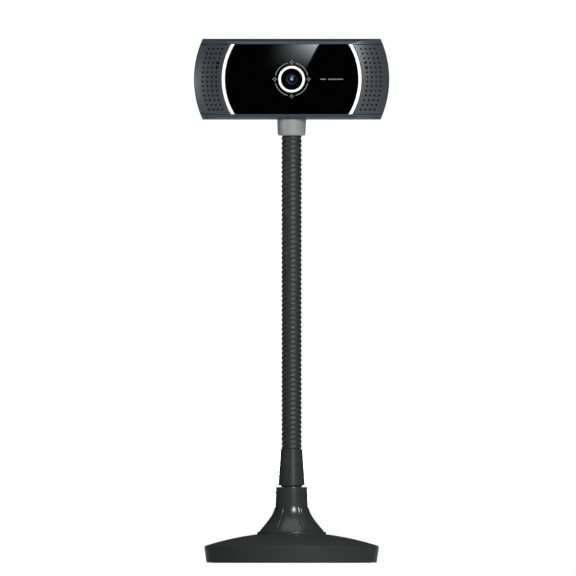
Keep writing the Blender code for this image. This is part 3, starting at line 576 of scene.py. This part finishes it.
def head_section(y, radius, half_height):
    """Outline of the head, or of its hollow, at one depth."""
    return [(x, y, HEAD_Z + z) for x, z in clipped_disc(radius, half_height)]


def collar_seat():
    """A tool for the shallow seat of the collar, under the head."""
    return turned(rod(COLLAR_SEAT_RADIUS, HEAD_UNDER - 2, HEAD_UNDER + COLLAR_SEAT_DEPTH), 96)


def make_front_frame():
    """Front half of the case: strips above and below, side walls and the bulkhead behind the face."""
    wall, hollow = HEAD_RADIUS - WALL, HEAD_HALF_HEIGHT - WALL
    outside = rounded([
        (SPLIT_Y, HEAD_HALF_HEIGHT), (-4.0, HEAD_HALF_HEIGHT, 3.0), (-9.2, 17.6, 0.9),
        (FRONT_Y, STRIP_INNER),
    ], 5)
    chamber = (CHAMBER_RADIUS, hollow - 0.3)
    sections = [(-5.2, *chamber), (-1.8, *chamber), (-1.8, wall, hollow), (SPLIT_Y, wall, hollow)]
    sections += [(y, HEAD_RADIUS, half) for y, half in outside]
    shell = new_object("front_frame", skinned([head_section(*s) for s in sections]))

    front, ledge = FRONT_Y - 1.0, -3.2
    opening = [(-50, -RECESS), (50, -RECESS), (50, RECESS), (-50, RECESS)]
    recess = new_object("recess", prism(opening, front, ledge))
    carve(recess, turned_y(rod(BULKHEAD_RADIUS, BULKHEAD_Y, ledge + 1), 128))
    carve(shell, recess)
    bend = [(r, face_y(r)) for r in spaced(HEAD_RADIUS + 1.5, FACE_BEND_RADIUS, 24)]
    carve(shell, turned_y(bend + [(FACE_BEND_RADIUS - 1, front), (HEAD_RADIUS + 1.5, front)], 256))
    carve(shell, turned_y(rod(LENS_PASS_RADIUS, -8.0, -4.0), 64))
    carve(shell, collar_seat())
    carve(shell, turned(rod(PIVOT_BORE, HEAD_UNDER - 2, HEAD_UNDER + 3), 48))
    round_edges(shell, CASE_EDGE)
    dress(shell, "case_grey")
    settle(shell, "head", ["head_front_shell"])


def case_screw_places():
    """X and Z, from the head's centre, of the four screws that hold the case together."""
    return [(x, z) for x in (-CASE_SCREW_X, CASE_SCREW_X) for z in (-CASE_SCREW_Z, CASE_SCREW_Z)]


def make_rear_cover():
    """Rear half of the case: screw wells, the gland's hole and a lip that closes the seam from inside."""
    rim, lip_y, lip_in, lip_out = SPLIT_Y + SEAM, SPLIT_Y - 1.2, WALL + 0.9, WALL + 0.15
    inside = [
        (12.4, 40.0, 15.0), (9.6, HEAD_RADIUS - lip_in, HEAD_HALF_HEIGHT - lip_in),
        (lip_y, HEAD_RADIUS - lip_in, HEAD_HALF_HEIGHT - lip_in),
        (lip_y, HEAD_RADIUS - lip_out, HEAD_HALF_HEIGHT - lip_out),
        (rim, HEAD_RADIUS - lip_out, HEAD_HALF_HEIGHT - lip_out),
    ]
    back = []
    for a in spaced(0, math.pi / 2, 10):
        drop = 1 - math.cos(a)
        y = BACK_BEND_Y + (BACK_Y - BACK_BEND_Y) * math.sin(a)
        back.append((y, HEAD_RADIUS - 4.2 * drop, HEAD_HALF_HEIGHT - 3.5 * drop))
    sections = inside + [(rim, HEAD_RADIUS, HEAD_HALF_HEIGHT)] + back
    cover = new_object("rear_cover", skinned([head_section(*s) for s in sections]))
    out = BACK_Y + 1
    for x, z in case_screw_places():
        carve(cover, turned_y(rod(3.8, 7.0, 13.2), 48, x, z), "UNION")
        carve(cover, turned_y(rod(2.6, 8.5, out), 48, x, z))
        carve(cover, turned_y(rod(1.3, 6.0, 9.0), 24, x, z))
    carve(cover, turned_y(rod(GLAND_HOLE, 11.0, out), 48, 0, GLAND_Z - HEAD_Z))
    carve(cover, collar_seat())
    round_edges(cover, CASE_EDGE)
    dress(cover, "case_grey")
    settle(cover, "head", ["head_rear_shell"])


def make_window():
    """The gloss window with the lens's hole, and the white arcs at its two ends."""
    half = STRIP_INNER - 0.22
    window = new_object("face_window", prism(clipped_disc(WINDOW_RADIUS - 0.05, half, 64), FRONT_Y, -7.0))
    carve(window, turned_y(rod(LENS_HOLE_RADIUS, FRONT_Y - 1, -6), 128))
    round_edges(window, 0.12)
    dress(window, "window_black")
    settle(window, "head", ["front_window"])
    for side, name in ((-1, "left"), (1, "right")):
        arc = ring_sector(WINDOW_RADIUS + 0.02, TRIM_RADIUS - 0.05, half, side)
        trim = soften(prism(arc, FRONT_Y - 0.08, -7.0), 0.12)
        piece(f"white_trim_{name}", trim, "trim_white", "head", [f"trim_{name}"])


def grille_holes(side):
    """X, Z and whether a microphone is behind it, of each hole in one grille."""
    holes = []
    for row in range(GRILLE_ROWS):
        z = GRILLE_ROW_PITCH * ((GRILLE_ROWS - 1) / 2 - row)
        for column in range(GRILLE_COLUMNS):
            x = math.sqrt(GRILLE_INNER_RADIUS**2 - z**2) + GRILLE_COLUMN_PITCH * column
            holes.append((side * x, z, column == 0 and row in MIC_ROWS))
    return holes


def make_grilles():
    """The two end panels, which bend back, with blind dimples and the microphones' open holes."""
    half, inner = STRIP_INNER - 0.35, TRIM_RADIUS + 0.15
    front = [(r, face_y(r)) for r in spaced(inner, HEAD_RADIUS, 26)]
    profile = front + [(HEAD_RADIUS, -3.5), (40.3, -3.5), (40.3, -6.9), (inner, -6.9)]
    for side, name in ((-1, "left"), (1, "right")):
        rings = []
        for u in spaced(-1.0, 1.0, 44):
            ring = []
            for r, y in profile:
                a = math.asin(u * half / r)
                ring.append((side * r * math.cos(a), y, HEAD_Z + r * math.sin(a)))
            rings.append(ring)
        grille = new_object(f"grille_panel_{name}", soften(skinned(rings), 0.18, 2, 40))
        cups = []
        for x, z, open_hole in grille_holes(side):
            y = face_y(math.hypot(x, z))
            deep = y + DIMPLE_DEPTH
            bottom = [(DIMPLE_RADIUS, deep - 0.2), (DIMPLE_RADIUS * 0.7, deep - 0.05), (0, deep)]
            dimple = [(0, y - 0.8), (DIMPLE_RADIUS, y - 0.8)] + bottom
            cups.append(turned_y(rod(MIC_HOLE_RADIUS, y - 1, -6) if open_hole else dimple, 16, x, z))
        dress(grille, "case_grey")
        carve(grille, merged(cups), finish="hole_shadow")
        settle(grille, "head", [f"grille_{name}"], 28)


def flat_print(outlines):
    """Outlines in X and Z from the head's centre, as ink on the window."""
    return merged([prism(outline, FRONT_Y - 0.015, FRONT_Y + 0.02) for outline in outlines])


def make_print():
    """A broken sighting circle round the lens with four small stars, and a plain two-bar mark."""
    def arc(radius, first, last):
        turns = [math.radians(a) for a in spaced(first, last, 24)]
        return [(radius * math.cos(a), radius * math.sin(a)) for a in turns]

    quarters = (0, 90, 180, 270)
    arcs = [arc(CIRCLE_OUTER, q + 14, q + 76) + arc(CIRCLE_INNER, q + 14, q + 76)[::-1] for q in quarters]
    piece("sighting_circle", flat_print(arcs), "print_grey", "head")
    stars = []
    for q in quarters:
        cx, cz = STAR_PLACE * math.cos(math.radians(q)), STAR_PLACE * math.sin(math.radians(q))
        for a in [math.radians(turn) for turn in quarters]:
            tip, wide, notch = 1.2, 0.42, 0.55
            above = [(tip, 0), (wide, wide), (wide * notch, wide * notch), (tip * notch, 0)]
            below = [(tip, 0), (tip * notch, 0), (wide * notch, -wide * notch), (wide, -wide)]
            for points in (above, below):
                stars.append([
                    (cx + x * math.cos(a) - z * math.sin(a), cz + x * math.sin(a) + z * math.cos(a))
                    for x, z in points
                ])
    piece("sighting_stars", flat_print(stars), "print_grey", "head")
    bars = []
    for x, width in ((13.2, 2.6), (17.0, 6.8)):
        bars.append([(x, -BAR_HALF), (x + width, -BAR_HALF), (x + width, BAR_HALF), (x, BAR_HALF)])
    piece("plain_mark", flat_print(bars), "print_grey", "head")


def make_lens():
    """The white focus ring, the stepped barrel, its retaining ring and its two visible lenses."""
    front = ring_low.y
    ring = rounded([
        (RING_BORE, front, 0.15), (RING_RADIUS, front, 0.15), (RING_RADIUS, -4.9),
        (7.2, -4.9), (7.2, -4.2), (RING_BORE, -4.2),
    ])
    piece("white_focus_ring", turned_y(ring, 128), "trim_white", "focus_ring", ["focus_ring"])

    mouth = [(BARREL_RADIUS, -9.9, 0.1), (4.0, -9.9, 0.1), (4.0, -9.3), (3.75, -9.3), (3.75, -9.05)]
    mouth += [(3.4, -9.05), (3.4, -8.8), (3.0, -8.8), (3.0, -8.6), (2.15, -8.6, 0.08), (2.15, -8.35)]
    glass_seat = [(3.1, -8.1), (3.1, -5.9), (2.0, -5.9), (2.0, -4.0)]
    tail = [(3.4, -4.0), (3.4, -2.0), (4.2, -2.0), (4.2, -6.4), (BARREL_RADIUS, -6.4)]
    barrel = turned_y(rounded(mouth + glass_seat + tail), 128)
    piece("barrel", barrel, "lens_black", "lens_barrel", ["lens_barrel"])

    bulge = [(r, -8.28 + r**2 / (2 * GLASS_RADIUS)) for r in spaced(0.0, 2.9, 16)]
    glass = turned_y(bulge + [(2.9, -6.6), (0, -6.4)], 96)
    piece("front_element", glass, "lens_glass", "lens_barrel", ["lens_glass_front"])
    retainer = rounded([
        (1.65, -8.62), (1.65, -8.68, 0.03), (2.5, -8.85, 0.05), (2.7, -8.85, 0.05), (2.7, -8.62),
    ])
    piece("element_retainer", turned_y(retainer, 96), "lens_ring", "lens_barrel")
    rear = [(0, -3.7), (1.6, -3.6), (3.1, -3.2), (3.1, -2.7), (1.6, -2.4), (0, -2.3)]
    piece("rear_element", turned_y(rear, 64), "lens_glass", "lens_barrel", ["lens_glass_rear"])


def make_case_screws():
    """Four countersunk screws with cross recesses, deep in the rear cover's wells."""
    shaft = [(0, 0.5), (1.0, 1.0), (1.0, 8.8), (2.3, 8.8), (2.3, 9.9, 0.4), (0, 10.4)]
    for i, (x, z) in enumerate(case_screw_places(), 1):
        body = new_object(f"cross_screw_{i}", turned_y(rounded(shaft), 48, x, z))
        for width, height in ((2.6, 0.5), (0.5, 2.6)):
            slot = bmesh.new()
            bmesh.ops.create_cube(slot, size=1.0)
            bmesh.ops.scale(slot, vec=(width, 1.6, height), verts=slot.verts)
            bmesh.ops.translate(slot, vec=(x, 10.4, HEAD_Z + z), verts=slot.verts)
            carve(body, slot)
        dress(body, "zinc")
        settle(body, "head", [f"case_screw_{i}"])


def make_gland():
    """The ribbed rubber strain relief at the back."""
    inside, outside = gland_low.y + 1.2, BACK_Y + 0.3
    profile = [(1.9, inside - 1.2), (4.3, inside - 1.2), (4.3, inside), (2.9, inside)]
    profile += [(2.9, outside - 0.25), (4.3, outside - 0.25, 0.2)]
    profile += [(4.3, outside + 0.9, 0.4), (3.1, outside + 1.3, 0.3)]
    for i in range(GLAND_RIBS):
        y, r = outside + 1.9 + i * 1.45, 3.05 - 0.09 * i
        profile += [(r, y), (r - 0.55, y + 0.12), (r - 0.55, y + 0.6), (r - 0.03, y + 0.72)]
    profile += [(2.6, gland_high.y, 0.25), (1.9, gland_high.y, 0.2)]
    relief = turned_y(rounded(profile, 3), 64, 0, GLAND_Z - HEAD_Z)
    piece("strain_relief", relief, "rubber", "head", ["cable_gland"])


# CAD nodes that stay as they are, and only get a finish
INSIDE = {
    "cast_iron": ["base_weight"],
    "base_plastic": ["base_cover"],
    "zinc": [
        "base_screw_1", "base_screw_2", "base_screw_3", "neck_nut", "pivot_bolt", "pivot_nut",
        "board_screw_1", "board_screw_2", "mic_left", "mic_right",
    ],
    "spring_steel": ["neck_washer", "pivot_washer"],
    "lens_black": ["lens_holder"],
    "filter_glass": ["ir_filter"],
    "chip_black": ["image_sensor", "image_chip"],
    "board_green": ["main_board"],
    "socket_ivory": ["cable_socket"],
}


# Stage

WORLD_STRENGTH = 0.03
FLOOR_GLOW = 0.68  # to the camera only, so that the floor stays pale beyond the lights
CARD_Y, CARD_HALF_X, CARD_HALF_Z = -400.0, 45.0, 24.0
PATCH_TOP, PATCH_LOW = 16.4, 2.0  # above the head's centre
PATCH_LEFT_X, PATCH_LOW_X, PATCH_TOP_X = -12.5, 5.0, 12.5  # the right edge slants from LOW to TOP
PATCH_STRENGTH = 13.0
GLINT_RADIUS, GLINT_STRENGTH = 5.4, 9.0
VIEW_SIZE, VIEW_X, VIEW_Z = 0.2665, -0.00167, 0.1272  # in metres


def area_light(name, place, target, width, height, power):
    """A soft rectangular light turned towards a target."""
    data = bpy.data.lights.new(name, "AREA")
    data.shape = "RECTANGLE"
    data.size, data.size_y = width, height
    data.energy = power
    light = bpy.data.objects.new(name, data)
    light.location = place
    light.rotation_euler = (Vector(target) - Vector(place)).to_track_quat("-Z", "Y").to_euler()
    bpy.context.scene.collection.objects.link(light)
    return light


def make_world():
    """White to the camera, and a dim studio to every other ray."""
    world = bpy.data.worlds.new("studio")
    bpy.context.scene.world = world
    world.use_nodes = True
    tree = world.node_tree
    seen, studio = tree.nodes["Background"], tree.nodes.new("ShaderNodeBackground")
    seen.inputs["Color"].default_value = (1, 1, 1, 1)
    seen.inputs["Strength"].default_value = 1.0
    studio.inputs["Color"].default_value = (1, 1, 1, 1)
    studio.inputs["Strength"].default_value = WORLD_STRENGTH
    mix = tree.nodes.new("ShaderNodeMixShader")
    tree.links.new(tree.nodes.new("ShaderNodeLightPath").outputs["Is Camera Ray"], mix.inputs["Fac"])
    tree.links.new(studio.outputs["Background"], mix.inputs[1])
    tree.links.new(seen.outputs["Background"], mix.inputs[2])
    tree.links.new(mix.outputs["Shader"], tree.nodes["World Output"].inputs["Surface"])


def make_floor():
    """A wide pale floor, just below the foot."""
    bm = bmesh.new()
    bmesh.ops.create_grid(bm, x_segments=1, y_segments=1, size=3000.0)
    bmesh.ops.translate(bm, vec=(0, 0, -0.1), verts=bm.verts)
    floor = new_object("floor", bm)
    pale = bpy.data.materials.new("pale_floor")
    pale.use_nodes = True
    tree = pale.node_tree
    surface = tree.nodes["Principled BSDF"]
    surface.inputs["Base Color"].default_value = (0.82, 0.82, 0.82, 1)
    surface.inputs["Roughness"].default_value = 0.6
    surface.inputs["Emission Color"].default_value = (1, 1, 1, 1)
    seen = tree.nodes.new("ShaderNodeMath")
    seen.operation = "MULTIPLY"
    seen.inputs[1].default_value = FLOOR_GLOW
    tree.links.new(tree.nodes.new("ShaderNodeLightPath").outputs["Is Camera Ray"], seen.inputs[0])
    tree.links.new(seen.outputs["Value"], surface.inputs["Emission Strength"])
    floor.data.materials.append(pale)


def reflection_card(name, bm, colour):
    """A card that is seen only in reflections. Returns its node tree and its emission node."""
    card = new_object(name, bm)
    glow = bpy.data.materials.new(name)
    glow.use_nodes = True
    tree = glow.node_tree
    tree.nodes.remove(tree.nodes["Principled BSDF"])
    emission = node(tree, "ShaderNodeEmission", Color=(*colour, 1))
    tree.links.new(emission.outputs["Emission"], tree.nodes["Material Output"].inputs["Surface"])
    card.data.materials.append(glow)
    card.visible_camera = card.visible_diffuse = card.visible_shadow = card.visible_transmission = False
    return tree, emission


def make_window_card():
    """A dark card in front of the window, with a bright slanted patch that fades down and to the left."""
    bm = bmesh.new()
    corners = [(-CARD_HALF_X, -CARD_HALF_Z), (CARD_HALF_X, -CARD_HALF_Z), (CARD_HALF_X, CARD_HALF_Z)]
    corners.append((-CARD_HALF_X, CARD_HALF_Z))
    bm.faces.new([bm.verts.new((x, CARD_Y, HEAD_Z + z)) for x, z in corners])
    tree, emission = reflection_card("window_card", bm, (0.93, 0.97, 1.0))
    axes = tree.nodes.new("ShaderNodeSeparateXYZ")
    tree.links.new(tree.nodes.new("ShaderNodeTexCoord").outputs["Object"], axes.inputs["Vector"])

    def maths(operation, a, b):
        made = tree.nodes.new("ShaderNodeMath")
        made.operation = operation
        for socket, value in zip(made.inputs, (a, b)):
            if isinstance(value, float):
                socket.default_value = value
            else:
                tree.links.new(value, socket)
        return made.outputs["Value"]

    def ramp(value, low, high):
        made = node(tree, "ShaderNodeMapRange", From_Min=low * MM, From_Max=high * MM)
        tree.links.new(value, made.inputs["Value"])
        return made.outputs["Result"]

    top_z, low_z = HEAD_Z + PATCH_TOP, HEAD_Z + PATCH_LOW
    lean = (PATCH_TOP_X - PATCH_LOW_X) / (top_z - low_z)
    below = maths("SUBTRACT", axes.outputs["Z"], top_z * MM)
    edge = maths("SUBTRACT", axes.outputs["X"], maths("MULTIPLY", below, lean))
    inside = ramp(edge, PATCH_TOP_X + 0.2, PATCH_TOP_X - 0.2)
    across = maths("POWER", ramp(edge, PATCH_LEFT_X, PATCH_TOP_X), 2.5)
    down = maths("POWER", ramp(axes.outputs["Z"], low_z - 1.0, top_z), 2.6)
    patch = maths("MULTIPLY", inside, maths("MULTIPLY", across, down))
    tree.links.new(maths("MULTIPLY", patch, PATCH_STRENGTH), emission.inputs["Strength"])


def make_glint_card():
    """A small disc straight in front of the lens, which shows as a glint in its glass."""
    place = Matrix.Translation((0.3, CARD_Y + 1, HEAD_Z + 0.6)) @ Matrix.Rotation(math.pi / 2, 4, "X")
    bm = bmesh.new()
    bmesh.ops.create_circle(bm, cap_ends=True, segments=48, radius=GLINT_RADIUS, matrix=place)
    emission = reflection_card("glint_card", bm, (0.48, 0.70, 1.0))[1]
    emission.inputs["Strength"].default_value = GLINT_STRENGTH


def towards(azimuth, elevation, distance):
    """A place seen from the origin at these angles. Azimuth 0 is in front and 90 is on the right."""
    a, e = math.radians(azimuth), math.radians(elevation)
    level = distance * math.cos(e)
    return (level * math.sin(a), -level * math.cos(a), distance * math.sin(e))


def make_lights():
    """A small key at the right, a soft light above, a faint one for the left end and three behind."""
    middle, head = (0, 0, 0.12), (0, 0, HEAD_Z * MM)
    area_light("key", towards(17, 30, 1.2), middle, 0.17, 0.40, 12.5)
    area_light("above_head", (0, -0.12, 0.8), head, 0.6, 0.35, 0.9)
    left_end = area_light("left_end", towards(-66, 14, 0.8), head, 0.12, 0.12, 0.016)
    left_end.data.spread = math.radians(20)
    area_light("behind", (0, 1.1, 0.06), head, 0.9, 0.1, 4.0)
    area_light("back_left", towards(-150, 60, 1.4), middle, 0.6, 0.6, 0.5)
    area_light("back_right", towards(150, 60, 1.4), middle, 0.6, 0.6, 0.5)


def make_camera():
    """Square on to the front, from far enough away that nothing converges."""
    data = bpy.data.cameras.new("camera")
    data.type = "ORTHO"
    data.ortho_scale = VIEW_SIZE
    data.clip_end = 10
    camera = bpy.data.objects.new("camera", data)
    camera.location = (VIEW_X, -1.5, VIEW_Z)
    camera.rotation_euler = (math.radians(90), 0, 0)
    bpy.context.scene.collection.objects.link(camera)
    bpy.context.scene.camera = camera
    bpy.context.scene.view_settings.view_transform = "Standard"


make_camera()
make_materials()
make_base()
make_socket()
make_ferrule()
make_neck()
make_collar()
make_front_frame()
make_rear_cover()
make_window()
make_grilles()
make_print()
make_lens()
make_case_screws()
make_gland()
for finish, names in INSIDE.items():
    for name in names:
        dress(frame["nodes"][name], finish)
make_world()
make_floor()
make_window_card()
make_glint_card()
make_lights()
